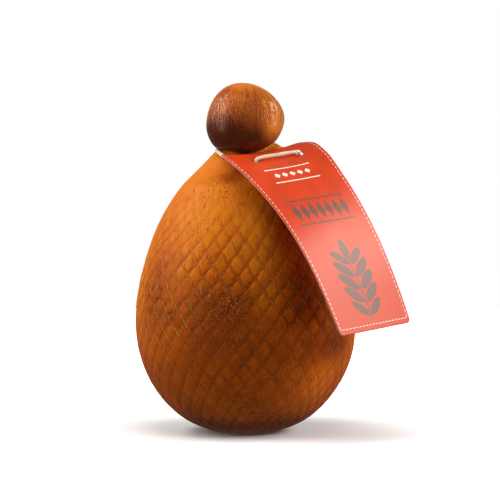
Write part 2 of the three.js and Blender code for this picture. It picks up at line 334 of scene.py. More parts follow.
# rows of the cheese's grid as distances along the outline: body, twine groove and head
def cheeseLevels():
    f = cheeseForm
    low, high = creaseRun - f["grooveReach"], creaseRun + f["grooveReach"]
    return np.concatenate([
        np.linspace(0, low, f["bodyRows"] + 1),
        np.linspace(low, high, f["grooveRows"] + 1)[1:],
        np.linspace(high, outlineRun[-1], f["headRows"] + 1)[1:-1],
    ])[:, None]


# fade of the net marks: faint high up, weaker low down, none at the foot and the neck or on the head
def netFade(level, z):
    m = netMarks
    fade = 1 - (1 - m["faintest"]) * smoothStep(z, *m["fadeSpan"])
    fade = fade * (m["lowShare"] + (1 - m["lowShare"]) * smoothStep(z, *m["strongSpan"]))
    fade = fade * smoothStep(z, *m["footClear"]) * (level < creaseRun)
    return fade * (1 - smoothStep(level - creaseRun, *m["neckClear"]))


# cheese: the outline turned round, its rows tilted and shaken, then moved along its outward direction by the
# net marks, unevenness, swell and folds
def makeCheese():
    f, m, s = cheeseForm, netMarks, skinMarks
    rng = np.random.default_rng(11)
    columns = f["meshesAround"] * f["stepsPerMesh"]
    pitch = creaseRun / f["meshesUp"]
    azimuth = np.linspace(0, 2 * np.pi, columns, endpoint=False)[None, :]
    level = cheeseLevels()
    onBody = level < creaseRun
    ends = smoothStep(level, 0, m["footEase"]) * (1 - smoothStep(level, creaseRun - m["neckEase"], creaseRun))
    wander, swing = [m["wander"] * waves(rng, azimuth, level, *m["wanderWaves"]) * ends for _ in range(2)]
    radius = outlineAt(level)[0]
    run = level - m["tilt"] * radius * np.sin(azimuth) * ends + wander
    turn = azimuth + swing / np.maximum(radius, m["turnRadius"])
    r, z = outlineAt(run)
    outR, outZ = outlineOut(run)

    patchy = m["patchMiddle"] + m["patchSwing"] * waves(rng, azimuth, level, *m["patchWaves"])
    crumbly = s["roughShare"] + (1 - s["roughShare"]) * waves(rng, azimuth, level, *s["roughWaves"])
    rough = np.clip(strengthOf(azimuth, z, s["roughPatches"]) * crumbly, 0, 1) * onBody
    strength = netFade(level, z) * (1 - s["roughFlat"] * rough) * np.clip(patchy, *m["patchLimits"])
    a = azimuth / (2 * np.pi) * f["meshesAround"] + 0 * level
    b = level / pitch + 0 * azimuth
    pillow, lineOne, lineTwo = netRelief(a, b, np.maximum(radius, m["lineRadius"]), pitch)
    relief = -m["pillow"] * strength * (1 - pillow)
    relief -= m["groove"] * strength * np.maximum(m["fallingGroove"] * lineOne, lineTwo)
    uneven = s["uneven"] * waves(rng, azimuth, level, *s["unevenWaves"])
    relief += uneven * smoothStep(z, *s["unevenFrom"]) * (1 - smoothStep(z, *s["unevenTo"]))
    relief += strengthOf(azimuth, level - creaseRun, s["swells"])
    crown = smoothStep(z, *s["foldFrom"]) * (1 - smoothStep(z, *s["foldTo"]))
    fold = headFolds(rng, azimuth, z, radius)
    relief -= s["fold"] * np.clip(fold, 0, s["foldMost"]) * crown
    seamShare = np.clip(m["seamLeast"] + strengthOf(azimuth, z, s["seamPlaces"]), 0, 1)
    layers = dict(
        netPower=strength,
        seamPower=strength ** m["seamPower"] * seamShare,
        pore=strengthOf(azimuth, z, s["poreClusters"]) * onBody,
        rough=rough,
        # cloud: stain with painted shadow, painted shade and painted light, from the clouds
        cloud=strengthOf(azimuth, z, s["stainAndPaintedLight"]),
        fold=np.clip(fold, 0, 1) * crown,
        head=smoothStep(level - creaseRun, *s["headEdge"]) + 0 * azimuth,
    )

    r, z = r + relief * outR, np.maximum(z + relief * outZ, 0)
    points = np.stack([r * np.sin(turn), -r * np.cos(turn), z], -1)
    rings = np.linspace(0, 1, f["footRings"] + 1)[1:-1, None, None]
    points = leaned(np.concatenate([points[:1] * rings * (1, 1, 0), points]))
    top = leaned(np.array([[0, 0, f["height"]]]))[0]
    mesh = closedGridMesh("cheese_rind", points, (0, 0, 0), top)
    rowRun = np.concatenate([rings[:, 0, 0] * f["footRadius"], f["footRadius"] + level[:, 0]])
    setUnrolled(mesh, "net", rowRun / wholeRun, columns)
    for name, values in layers.items():
        setPointAttribute(mesh, name, np.pad(values, ((f["footRings"] - 1, 0), (0, 0))))
    print("cheese:", len(mesh.polygons), "faces")
    return addPiece(mesh, "cheese")


def bezierOf(controls, t):
    return controls[0] * (1 - t) ** 2 + 2 * controls[1] * t * (1 - t) + controls[2] * t ** 2


# card directions at a distance down it: along, across and out of its face, from pitch, heading and roll
def tagDirections(down):
    f = tagForm
    t = np.clip(down / f["length"], 0, 1)
    pitch, heading = bezierOf(f["pitch"], t) * degree, bezierOf(f["heading"], t) * degree
    sp, cp, sh, ch = np.sin(pitch), np.cos(pitch), np.sin(heading), np.cos(heading)
    level = np.stack([ch, sh, 0 * ch], -1)
    lift = np.stack([sp * sh, -sp * ch, cp], -1)
    along = np.stack([cp * sh, -cp * ch, -sp], -1)
    cr, sr = np.cos(f["roll"] * degree), np.sin(f["roll"] * degree)
    return along, level * cr + lift * sr, lift * cr - level * sr


# the card's middle line: its direction summed from the top edge in one-millimetre steps
tagSteps = np.arange(0, tagForm["length"] + 1)
tagSpine = np.array(tagForm["top"]) + np.concatenate(
    [np.zeros((1, 3)), np.cumsum(tagDirections(tagSteps[:-1] + 0.5)[0], axis=0)])


# card surface: middle line + across * width direction + out * face direction, with the top edge sagging
def tagPoint(across, down, out):
    f = tagForm
    across, down, out = np.broadcast_arrays(*[np.asarray(v, dtype=float) for v in (across, down, out)])
    along, side, face = tagDirections(down)
    inside = np.clip(down, 0, f["length"])
    spine = np.stack([np.interp(inside, tagSteps, tagSpine[:, k]) for k in range(3)], -1)
    spine = spine + along * (down - inside)[..., None]
    ease = np.clip(1 - inside / f["bowLength"], 0, 1) ** 2
    bow = (f["bow"] * (2 * across / f["width"]) ** 2 - f["sag"]) * ease
    return spine + side * across[..., None] + face * (bow + out)[..., None]


def makeTag():
    f = tagForm
    rows, columns = f["rows"] + 1, f["columns"] + 1
    down = np.linspace(0, f["length"], rows)[:, None] + np.zeros((1, columns))
    inset = np.minimum(down, f["length"] - down)
    cut = np.clip(f["corner"] - inset, 0, None)
    half = f["width"] / 2 - (f["corner"] - np.sqrt(f["corner"] ** 2 - cut ** 2))
    across = np.linspace(-1, 1, columns)[None, :] * half
    gridRow, gridColumn = np.mgrid[0:rows, 0:columns]
    keep = np.ones((rows - 1, columns - 1), bool)
    block, step = f["holeBlock"], f["width"] / f["columns"]
    # holes: the square ring of points round each hole is moved onto a circle and eased back to the grid
    for holeAcross, holeDown in f["holes"]:
        c = np.argmin(np.abs(across[rows // 2] - holeAcross))
        r = np.argmin(np.abs(down[:, 0] - holeDown))
        di, dj = gridColumn - c, gridRow - r
        ring = np.maximum(np.abs(di), np.abs(dj))
        away = np.maximum(np.hypot(di, dj), 1e-6)
        circle = f["holeRadius"] + (ring - block) * step
        ease = smoothStep(ring, block, block + f["holeBlend"])
        across = across * ease + (holeAcross + circle * di / away) * (1 - ease)
        down = down * ease + (holeDown + circle * dj / away) * (1 - ease)
        keep[r - block:r + block, c - block:c + block] = False
    # a soft dent along the line from the right hole towards the middle, and a slight waviness of the card
    spot, start, end = across + 1j * down, complex(*f["holes"][1]), complex(*f["dentEnd"])
    t = np.clip(((spot - start) / (end - start)).real, 0, 1)
    gone = np.abs(spot - start - t * (end - start))
    out = -f["dent"] * np.exp(-(gone / f["dentHalf"]) ** 2) * smoothStep(down, *f["dentFrom"])
    wave = np.sin(down / f["waveDown"] + 0.6) * np.sin(across / f["waveAcross"] + 0.4)
    out += f["wave"] * wave * smoothStep(down, *f["waveFrom"])
    # the right top corner curls back and the edge below it lifts, each as a bell
    beside = across - f["width"] / 2
    out -= f["curl"] * np.exp(-(beside / f["curlWide"]) ** 2 - (down / f["curlTall"]) ** 2)
    apart = np.hypot(beside, down - f["liftDown"])
    out += f["lift"] * np.exp(-(apart / f["liftReach"]) ** 2)
    points = tagPoint(across, down, out)
    index = np.arange(rows * columns).reshape(rows, columns)
    quads = np.stack([index[:-1, :-1], index[1:, :-1], index[1:, 1:], index[:-1, 1:]], -1)[keep]
    used, faces = np.unique(quads, return_inverse=True)
    mesh = bpy.data.meshes.new("card_tag")
    mesh.from_pydata((points.reshape(-1, 3)[used] * mm).tolist(), [], faces.reshape(-1, 4).tolist())
    flat = np.stack([across / f["length"] + 0.5, 1 - down / f["length"]], -1).reshape(-1, 2)
    layer = mesh.uv_layers.new(name="card")
    layer.data.foreach_set("uv", flat[quads.ravel()].astype(np.float32).ravel())
    mesh.shade_smooth()
    piece = addPiece(mesh, "tag")
    wall = piece.modifiers.new("thickness", "SOLIDIFY")
    wall.thickness = f["thickness"] * mm
    wall.offset = 0.0
    wall.material_offset = 1
    wall.material_offset_rim = 2
    print("tag:", len(mesh.polygons), "faces on one side")
    return piece


# the straight way from first to last as t goes from low to high
def between(t, low, high, first, last):
    return ((high - t) * first + (t - low) * last) / (high - low)


# smooth path: a Catmull-Rom curve with centripetal spacing through the points, resampled at equal steps
def smoothPath(points, step):
    p = np.asarray(points, dtype=float)
    p = np.concatenate([2 * p[:1] - p[1:2], p, 2 * p[-1:] - p[-2:-1]])
    knots = np.append(0, np.cumsum(np.sqrt(np.linalg.norm(np.diff(p, axis=0), axis=1))))
    pieces = []
    for k in range(1, len(p) - 2):
        t = np.linspace(knots[k], knots[k + 1], twineForm["pathSteps"], endpoint=False)[:, None]
        s = knots[k - 1:k + 3]
        a = [between(t, s[i], s[i + 1], p[k - 1 + i], p[k + i]) for i in range(3)]
        b = [between(t, s[i], s[i + 2], a[i], a[i + 1]) for i in range(2)]
        pieces.append(between(t, s[1], s[2], *b))
    fine = np.concatenate(pieces + [p[-2:-1]])
    run = np.append(0, np.cumsum(np.linalg.norm(np.diff(fine, axis=0), axis=1)))
    at = np.linspace(0, run[-1], max(4, int(run[-1] / step)))
    return np.stack([np.interp(at, run, fine[:, k]) for k in range(3)], -1), at


# frames along a path: the side direction is carried from step to step, staying square to the path
def pathFrames(path):
    tangent = np.gradient(path, axis=0)
    tangent /= np.linalg.norm(tangent, axis=1)[:, None]
    side = np.zeros_like(path)
    start = np.cross(tangent[0], (0.3, 0.2, 1.0))
    side[0] = start / np.linalg.norm(start)
    for k in range(1, len(path)):
        moved = side[k - 1] - tangent[k] * np.dot(side[k - 1], tangent[k])
        side[k] = moved / np.linalg.norm(moved)
    return side, np.cross(tangent, side)


# twisted twine: a lobed section, one lobe a ply, turning steadily as it is carried along the path
def twineTube(points, radius, seed):
    f = twineForm
    rng = np.random.default_rng(seed)
    path, at = smoothPath(points, f["step"])
    side, up = pathFrames(path)
    around = np.linspace(0, 2 * np.pi, f["around"], endpoint=False)[None, :]
    turn = 2 * np.pi * at[:, None] / f["twistLength"]
    lobe = np.abs(np.cos(f["plies"] * (around - turn) / 2))
    lumps = 1 + sum(share * np.sin(at / long + rng.uniform(0, 6)) for share, long in f["lumps"])
    section = radius * (f["core"] + (1 - f["core"]) * lobe ** f["lobePower"]) * lumps[:, None]
    points = path[:, None] + section[..., None] * (
        np.cos(around)[..., None] * side[:, None] + np.sin(around)[..., None] * up[:, None])
    return points, path, lobe + 0 * turn, at[:, None] + 0 * around


# seat: the least radius in the groove that keeps the twine clear of the rind
def seatRadius():
    seat = np.interp(creaseHeight, outlineZ, outlineR)
    reach = twineForm["radius"] + twineForm["seatGap"]
    while np.hypot(outlineR - seat, outlineZ - creaseHeight).min() < reach:
        seat += twineForm["seatStep"]
    return seat


def neckPoint(azimuth, radius, below=0.0):
    turn = azimuth * degree
    return leaned(np.array([[radius * np.sin(turn), -radius * np.cos(turn), creaseHeight - below]]))[0]


# twine: from the knot round the left of the neck in the groove, under the card, up through one hole, over its
# face, down through the other and back over the right shoulder to the knot; its ends come out as tails
def makeTwine():
    f = twineForm
    seat = seatRadius()
    knot = neckPoint(180, seat / np.cos(f["meet"] * degree))
    (u1, v1), (u2, v2) = tagForm["holes"]
    face = tagForm["thickness"] / 2 + f["gap"] + f["radius"]
    tail = np.array(f["tail"])
    leftTail, rightTail = knot + tail * (-1, 1, 1), knot + tail
    loop = [
        *rightTail[::-1], knot + (2.0, 0, 0.5), knot + (-2.0, 0, 0.5),
        *[neckPoint(azimuth, seat) for azimuth in (f["meet"] - 180, -108, -86)],
        neckPoint(-66, seat + 0.5),
        *[tagPoint(*spot) for spot in (
            (-28, -1, -face - 1.2), (u1 - 4.2, v1 - 1.5, -face - 1), (u1 - 0.6, v1, -1.2),
            (u1 + 0.6, v1, 1.2), (u1 + 3.8, v1, face + 0.2), ((u1 + u2) / 2, (v1 + v2) / 2, face + 0.7),
            (u2 - 3.8, v2, face + 0.2), (u2 - 0.6, v2, 1.2), (u2 + 0.5, v2 - 0.2, -1.3),
            (u2 + 0.6, v2 - 3.6, -face - 1.6))],
        neckPoint(88, seat + 14, 11.6), neckPoint(106, seat + 12, 9.6),
        neckPoint(127, seat + 7.2, 5.2), neckPoint(180 - f["meet"], seat + 4.2, 2.6),
        knot + (2.0, 0, -0.5), knot + (-2.0, 0, -0.5), *leftTail,
    ]
    t = np.linspace(0, 1, f["knotSteps"])[:, None]
    angle = 2 * np.pi * f["knotTurns"] * t
    half = f["knotPitch"] * f["knotTurns"] / 2
    coil = knot + np.concatenate([
        half * (2 * t - 1), f["knotRadius"] * np.cos(angle), f["knotRadius"] * np.sin(angle)], axis=1)
    meshes = []
    for name, points, seed in (("twine_loop", loop, 3), ("twine_knot", coil, 4)):
        tube, path, lobe, along = twineTube(points, f["radius"], seed)
        mesh = closedGridMesh(name, tube[:, ::-1], path[0], path[-1])
        for label, values in (("ply", lobe), ("along", along)):
            setPointAttribute(mesh, label, values[:, ::-1])
        meshes.append(addPiece(mesh, "twine"))
    print("twine:", sum(len(piece.data.polygons) for piece in meshes), "faces")
    return meshes


# signal: an output of one node; each sum, product, comparison or ramp of signals adds a node
class Signal:
    def __init__(self, tree, socket):
        self.tree, self.socket = tree, socket

    def calc(self, operation, *others):
        return addNode(self.tree, "Math", dict(enumerate([self, *others])), operation=operation)

    __add__ = partialmethod(calc, "ADD")
    __sub__ = partialmethod(calc, "SUBTRACT")
    __mul__ = partialmethod(calc, "MULTIPLY")
    __lt__ = partialmethod(calc, "LESS_THAN")
    __gt__ = partialmethod(calc, "GREATER_THAN")
    __or__ = partialmethod(calc, "MAXIMUM")
    __abs__ = partialmethod(calc, "ABSOLUTE")

    def __rsub__(self, other):
        return self * -1.0 + other

    # smooth step from 0 at low to 1 at high
    def ramp(self, low, high):
        values = {0: self, 1: low, 2: high, 3: 0.0, 4: 1.0}
        return addNode(self.tree, "MapRange", values, interpolation_type="SMOOTHSTEP")

    # a number that goes from first to last as the signal goes from 0 to 1
    def fade(self, first, last):
        return self * (last - first) + first

    # a colour that does the same
    def mix(self, first, last):
        return addNode(self.tree, "Mix", {0: self, 6: first, 7: last}, 2, data_type="RGBA")

    # noise on Object coordinates with lumps of a size in millimetres; output 1 is its colour
    def noise(self, size, detail, roughness=0.55, output=0):
        values = {"Vector": self, "Scale": 1 / (size * mm), "Detail": detail, "Roughness": roughness}
        return addNode(self.tree, "TexNoise", values, output)

    # noise on this signal and another as flat coordinates
    def noiseWith(self, other, scale=1.0, detail=2.0):
        spot = addNode(self.tree, "CombineXYZ", {0: self, 1: other, 2: 0.0})
        return addNode(self.tree, "TexNoise", {"Vector": spot, "Scale": scale, "Detail": detail})

    def bump(self, distance, strength):
        values = {"Height": self, "Distance": distance * mm, "Strength": strength}
        return addNode(self.tree, "Bump", values)

    def split(self, kind="SeparateXYZ"):
        node = self.tree.nodes.new("ShaderNode" + kind)
        plug(self, node.inputs[0])
        return [Signal(self.tree, socket) for socket in node.outputs]


# links a signal to a socket, or sets the socket to a constant
def plug(value, socket):
    if isinstance(value, Signal):
        value.tree.links.new(value.socket, socket)
    else:
        socket.default_value = value


# adds a node of a kind, named without its prefix, and gives one of its outputs
def addNode(tree, kind, inputs=None, output=0, **settings):
    node = tree.nodes.new("ShaderNode" + kind)
    for name, value in settings.items():
        setattr(node, name, value)
    for name, value in (inputs or {}).items():
        plug(value, node.inputs[name])
    return Signal(tree, node.outputs[output])


def objectPlace(tree):
    return addNode(tree, "TexCoord", output="Object")


def unrolledPlace(tree, name):
    return addNode(tree, "UVMap", uv_map=name).split()[:2]


def pointValue(tree, name):
    return addNode(tree, "Attribute", output=2, attribute_name=name)


def newMaterial(name):
    material = bpy.data.materials.new(name)
    material.use_nodes = True
    return material, material.node_tree


def dress(material, values):
    for name, value in values.items():
        plug(value, material.node_tree.nodes["Principled BSDF"].inputs[name])
    return material


# cheese rind: amber curd stained brown by smoke, fine raised seams left by the net, waxy skin; the layers are
# painted in this order, each a mask, a colour and a strength, and the heights are bumps in millimetres
cheeseLook = dict(
    honey=(0.68, 0.2, 0.01, 1), clay=(0.66, 0.142, 0.013, 1), amber=(0.46, 0.082, 0.004, 1),
    brown=(0.185, 0.033, 0.0055, 1), mahogany=(0.05, 0.006, 0.002, 1),
    fleck=(0.88, 0.28, 0.05, 1), seam=(0.98, 0.38, 0.06, 1), shine=(1.0, 0.5, 0.28, 1),
    # fold, crease, pit and hole lay painted shade into the head's folds and wrinkles, the pores and the crumb
    # holes
    layers=[
        ("darkGrit", "brown", 1.0), ("paleGrit", "pale", 0.3), ("shade", "brown", 0.26),
        ("seam", "seam", 1.0), ("browned", "brown", 1.0), ("smoked", "mahogany", 0.97),
        ("fold", "mahogany", 0.35), ("crease", "mahogany", 0.45), ("pit", "brown", 0.8),
        ("rough", "brown", 0.78), ("hole", "mahogany", 0.6), ("speck", "fleck", 0.8),
        ("streak", "seam", 0.4), ("smear", "brown", 0.24)],
    heights=dict(seam=0.42, speck=0.16, streak=0.26, pit=-0.35, crease=-0.32),
    roughness=(0.31, 0.53), headSmooth=0.14, bodyWax=0.06,
    scatter=0.15, scatterReach=(1.0, 0.35, 0.08), scatterScale=2.5,
)

# stain and painted shade: noise sizes (mm) and detail, each cause's share, the painted shade at the lozenges'
# edges and painted light on their crowns, and where pale turns to amber and amber to brown; spans of height
# in the looks are in metres
stainAndShadeMix = dict(
    lumps=((45, 3), (9, 4), (2.2, 4)), broad=0.6, middle=0.55, upward=0.38,
    upwardSpan=(0.0, 0.19), head=0.12, lozenge=(0.18, -0.11),
    claySpan=(0.03, 0.09), amberSpan=(0.0, 0.5), brownSpan=(0.3, 0.85),
)

# head: smoked dark below a sloping line and browned above it, waxed (at its foot and crown), with fine
# wrinkles (width, tallness, slant) whose valleys get painted shade
headLook = dict(
    smokedSpan=(0.2235, 0.2035), wobble=0.006, lean=0.34, cloud=0.03,
    brown=(0.35, 0.1), brownSpan=(0.218, 0.234), wax=(0.56, 0.16), waxSpan=(0.222, 0.236),
    worn=0.3, wornSpan=(0.219, 0.209), wornSide=(0.0, -0.016),
    wrinkle=(1.25, 4.5, 0.6), wrinkleCut=(0.5, 0.68), wrinkleFrom=(0.207, 0.217), wrinkleTo=(0.2375, 0.231),
)

# skin: how seams break up, grit, dry crumbs, pores, grain, pale streaks and brown smears (width, tallness)
skinLook = dict(
    risingSeam=0.3, seamBreak=(0.36, 0.54), seamFine=(0.2, 0.6), fallingShade=0.7,
    gritSize=1.0, gritRoughness=0.7, darkGrit=(0.5, 0.36), paleGrit=(0.5, 0.64),
    gritFade=(0.38, 0.16), gritSpan=(0.12, 0.165),
    crumbSize=1.1, dryCut=(0.05, 0.6), holeCut=(0.46, 0.34), speckCut=(0.58, 0.68),
    speckBase=0.1, poreSize=2.5, poreEdge=(0.38, 0.12), streakCut=(0.56, 0.7),
    streak=(1.5, 6.0), streakBreak=(0.42, 0.6), streakFade=(0.35, 1.0), streakSpan=(0.08, 0.13),
    smear=(3.4, 12.0), smearSpan=(0.09, 0.12),
    grainSize=0.8, grain=0.1, fineGrain=0.12, dryGrain=(1.0, 3.0), headGrain=(1.0, 0.4),
)


# seams: thin ridges where a+b or a-b is whole, with a and b read from the unrolled map and shaken a little;
# each family, first the falling one, gives its lit line (a painted highlight), the painted shade beside it
# and the way into the lozenge
def seamFamilies(place, u, v):
    f, m = cheeseForm, netMarks
    pitch, sway = creaseRun / f["meshesUp"], m["seamWander"] / 2
    shakeU, shakeV = place.noise(m["shakeSize"], 2, output=1).split()[:2]
    a = u * f["meshesAround"] + shakeU.fade(-sway, sway)
    b = v * (wholeRun / pitch) - f["footRadius"] / pitch + shakeV.fade(-sway, sway)
    families = []
    for count in (a + b, a - b):
        off = count - count.calc("ROUND")
        beside = abs(off - m["shadeOff"]).ramp(m["shadeHalf"], 0.0)
        families.append((abs(off).ramp(m["seamHalf"], 0.0), beside, abs(off).ramp(0.0, m["cellEdge"])))
    return families


# lines: noise drawn out up the skin, its width in millimetres at the given radius
def drawnLines(u, v, radius, wide, tall, slant=0.0):
    up = v * (wholeRun / tall)
    return (u * (2 * np.pi * radius / wide) + up * slant).noiseWith(up)


# pores: the middles of scattered cells, drawn where a cell's own random value is below the patch's amount
def poreMask(place, amount):
    values = {"Vector": place, "Scale": 1 / (skinLook["poreSize"] * mm)}
    away = addNode(place.tree, "TexVoronoi", values, "Distance")
    own = addNode(place.tree, "TexVoronoi", values, "Color").split("SeparateColor")[0]
    return (own < amount) * away.ramp(*skinLook["poreEdge"])


# skin masks: grit all over, crumbs on the dry patches, and streaks and smears that keep off the head
def skinMasks(place, u, v, z, middle, rough, onHead):
    f, girth = skinLook, cheeseForm["bellyRadius"]
    grit = place.noise(f["gritSize"], 3, f["gritRoughness"])
    crumbs = place.noise(f["crumbSize"], 2)
    dry = rough.ramp(*f["dryCut"])
    streak, smear = [drawnLines(u, v, girth, *f[name]).ramp(*f["streakCut"]) * (1.0 - onHead)
                     for name in ("streak", "smear")]
    streak = streak * middle.ramp(*f["streakBreak"])
    return dict(
        darkGrit=grit.ramp(*f["darkGrit"]) * z.ramp(*f["gritSpan"]).fade(*f["gritFade"]),
        paleGrit=grit.ramp(*f["paleGrit"]),
        hole=crumbs.ramp(*f["holeCut"]) * dry,
        speck=crumbs.ramp(*f["speckCut"]) * (dry + f["speckBase"]),
        streak=streak * z.ramp(*f["streakSpan"]).fade(*f["streakFade"]),
        smear=smear * z.ramp(*f["smearSpan"]),
    )


def cheeseMaterial():
    look, skin, head, mix = cheeseLook, skinLook, headLook, stainAndShadeMix
    material, tree = newMaterial("smoked_rind")
    place = objectPlace(tree)
    x, _, z = place.split()
    u, v = unrolledPlace(tree, "net")
    names = ("netPower", "seamPower", "pore", "rough", "cloud", "fold", "head")
    power, seamPower, pore, rough, cloud, fold, onHead = [pointValue(tree, name) for name in names]
    broad, middle, fine = [place.noise(size, detail) for size, detail in mix["lumps"]]
    lit, shaded, cells = zip(*seamFamilies(place, u, v))
    # the seam's pale colour is partly its own, where the net kept smoke off it, and partly a painted
    # highlight, full on the falling family and less on the rising one; shade is painted shade beside the
    # seams
    seam = (lit[0] | lit[1] * skin["risingSeam"]) * seamPower * middle.ramp(*skin["seamBreak"])
    wrinkle = drawnLines(u, v, cheeseForm["headRadius"], *head["wrinkle"]).ramp(*head["wrinkleCut"])
    # the clouds also move the smoke line, so where they carry painted light the head's rims and crown come
    # out lighter
    smokedLevel = z + middle.fade(-head["wobble"], head["wobble"]) + x * head["lean"] - cloud * head["cloud"]
    masks = dict(
        seam=seam * fine.ramp(*skin["seamFine"]),
        shade=(shaded[0] * skin["fallingShade"] | shaded[1]) * power,
        browned=z.ramp(*head["brownSpan"]).fade(*head["brown"]) * onHead,
        smoked=smokedLevel.ramp(*head["smokedSpan"]) * onHead,
        crease=wrinkle * z.ramp(*head["wrinkleFrom"]) * z.ramp(*head["wrinkleTo"]) * onHead,
        fold=fold, rough=rough, pit=poreMask(place, pore),
        **skinMasks(place, u, v, z, middle, rough, onHead),
    )
    # tone: darker low on the cheese and in lumps of stain, darker or lighter in the drifting clouds, which
    # hold stain and painted light, and painted shade at each lozenge's edge with painted light on its crown
    stain = broad * mix["broad"] + middle * mix["middle"] - z.ramp(*mix["upwardSpan"]) * mix["upward"]
    stain = stain + (cells[0] * cells[1]).fade(*mix["lozenge"]) * power + cloud + onHead * mix["head"]
    pale = z.ramp(*mix["claySpan"]).mix(look["clay"], look["honey"])
    color = stain.ramp(*mix["amberSpan"]).mix(pale, look["amber"])
    color = stain.ramp(*mix["brownSpan"]).mix(color, look["brown"])
    for name, tone, strength in look["layers"]:
        color = (masks[name] * strength).mix(color, pale if tone == "pale" else look[tone])

    # grain: fine lumps, stronger on the dry patches and weaker on the head, with the other heights on top
    relief = fine * skin["fineGrain"] + place.noise(skin["grainSize"], 2) * skin["grain"]
    relief = relief * rough.fade(*skin["dryGrain"]) * onHead.fade(*skin["headGrain"])
    for name, height in look["heights"].items():
        relief = relief + masks[name] * height
    # wax: thick on the head, thinner on its crown, worn off low on its left side, and a trace on the body
    worn = (z.ramp(*head["wornSpan"]) * x.ramp(*head["wornSide"])).fade(1.0, head["worn"])
    wax = z.ramp(*head["waxSpan"]).fade(*head["wax"]) * worn * onHead
    return dress(material, {
        "Base Color": color,
        "Roughness": fine.fade(*look["roughness"]) - onHead * look["headSmooth"],
        "Normal": relief.bump(1.0, 1.0),
        "Specular Tint": look["shine"],
        "Specular IOR Level": wax + look["bodyWax"],
        "Subsurface Weight": look["scatter"],
        "Subsurface Radius": look["scatterReach"],
        "Subsurface Scale": look["scatterScale"] * mm,
    })


# twine: cream fibres, darker between the plies, with fine streaks along it
twineLook = dict(
    cream=(0.88, 0.76, 0.57, 1), shade=(0.5, 0.36, 0.22, 1), stain=(0.66, 0.47, 0.26, 1),
    plyEdge=(0.15, 0.75), stainSize=3.0, stainCut=(0.5, 0.75), fibres=9.0, fibreScale=1.6,
    bump=(0.2, 0.7), roughness=0.85, sheen=0.2,
)


def twineMaterial():
    f = twineLook
    material, tree = newMaterial("natural_twine")
    ply, along = pointValue(tree, "ply"), pointValue(tree, "along")
    color = ply.ramp(*f["plyEdge"]).mix(f["shade"], f["cream"])
    stained = objectPlace(tree).noise(f["stainSize"], 3).ramp(*f["stainCut"])
    fibre = (ply * f["fibres"]).noiseWith(along, f["fibreScale"], 3.0)
    return dress(material, {
        "Base Color": stained.mix(color, f["stain"]),
        "Normal": fibre.bump(*f["bump"]),
        "Roughness": f["roughness"],
        "Sheen Weight": f["sheen"],
    })


# tag print in millimetres on the card: x across from its middle, y down from its top edge
tagPrint = dict(
    red=(0.63, 0.052, 0.008, 1), mottledAndShadedRed=(0.5418, 0.04472, 0.00688, 1),
    grey=(0.12, 0.075, 0.062, 1), white=(0.9, 0.86, 0.8, 1), edge=(0.74, 0.5, 0.4, 1),
    cloudScale=0.06, cloudCut=(0.35, 0.7), shadeDown=(60.0, 120.0), greyCover=0.92,
    whiteCover=0.95, roughness=(0.27, 0.39), specular=0.4, toothScale=1.8, bump=(0.05, 0.3),
    edgeGrain=2.0, edgeRoughness=0.8,
    sideInset=2.1, footInset=3.6, stitchWidth=0.45, stitchPeriod=3.4, stitchFill=0.62, stitchStart=400.0,
    ruleDown=(26.0, 40.0), ruleHalf=19.0, ruleWidth=0.9, gems=5, gemPitch=6.4, gemSize=2.4,
    bandDown=68.0, bandHalf=25.2, bandTall=8.6, bandCount=7, bandFill=0.88, bandGap=1.2, bandRule=0.6,
    sprigTop=98.0, sprigFoot=150.0, stemHalf=0.75, stemDown=6.0, tipDown=2.0, tipShare=0.8,
    leafPairs=5, leafLength=9.5, leafWidth=3.6, leafTilt=38.0, leafSmallest=0.72,
    leafTop=12.0, leafFoot=4.0, leafAside=0.86, leafGap=0.6, leafRaise=0.55,
)


# ellipse mask: 1 inside a tilted ellipse, from its two squared axes
def inkEllipse(x, y, centre, halfLong, halfWide, tilt):
    c, s = np.cos(tilt * degree), np.sin(tilt * degree)
    dx, dy = x - centre[0], y - centre[1]
    p = dx * (c / halfLong) + dy * (s / halfLong)
    q = dy * (c / halfWide) - dx * (s / halfWide)
    return p * p + q * q < 1.0


# box mask: 1 where x and y are both within half sizes of a centre
def inkBox(x, y, centre, halfX, halfY):
    return (abs(x - centre[0]) < halfX) * (abs(y - centre[1]) < halfY)


# dashes: a thin line at a given distance that is drawn for part of each period along the edge
def inkDashes(distance, inset, along):
    f = tagPrint
    phase = ((along + f["stitchStart"]) * (1 / f["stitchPeriod"])).calc("FRACT")
    return (abs(distance - inset) < f["stitchWidth"] / 2) * (phase < f["stitchFill"])


def whiteInk(x, y):
    f = tagPrint
    toSide, toFoot = tagForm["width"] / 2 - abs(x), tagForm["length"] - y
    masks = [inkDashes(toSide, f["sideInset"], y) * (toFoot > f["footInset"]),
             inkDashes(toFoot, f["footInset"], x) * (toSide > f["sideInset"])]
    for down in f["ruleDown"]:
        masks.append(inkBox(x, y, (0, down), f["ruleHalf"], f["ruleWidth"] / 2))
    middle = sum(f["ruleDown"]) / 2
    for k in range(f["gems"]):
        gemX = (k - (f["gems"] - 1) / 2) * f["gemPitch"]
        masks.append(inkBox(x + y, x - y, (gemX + middle, gemX - middle), f["gemSize"], f["gemSize"]))
    return reduce(or_, masks)


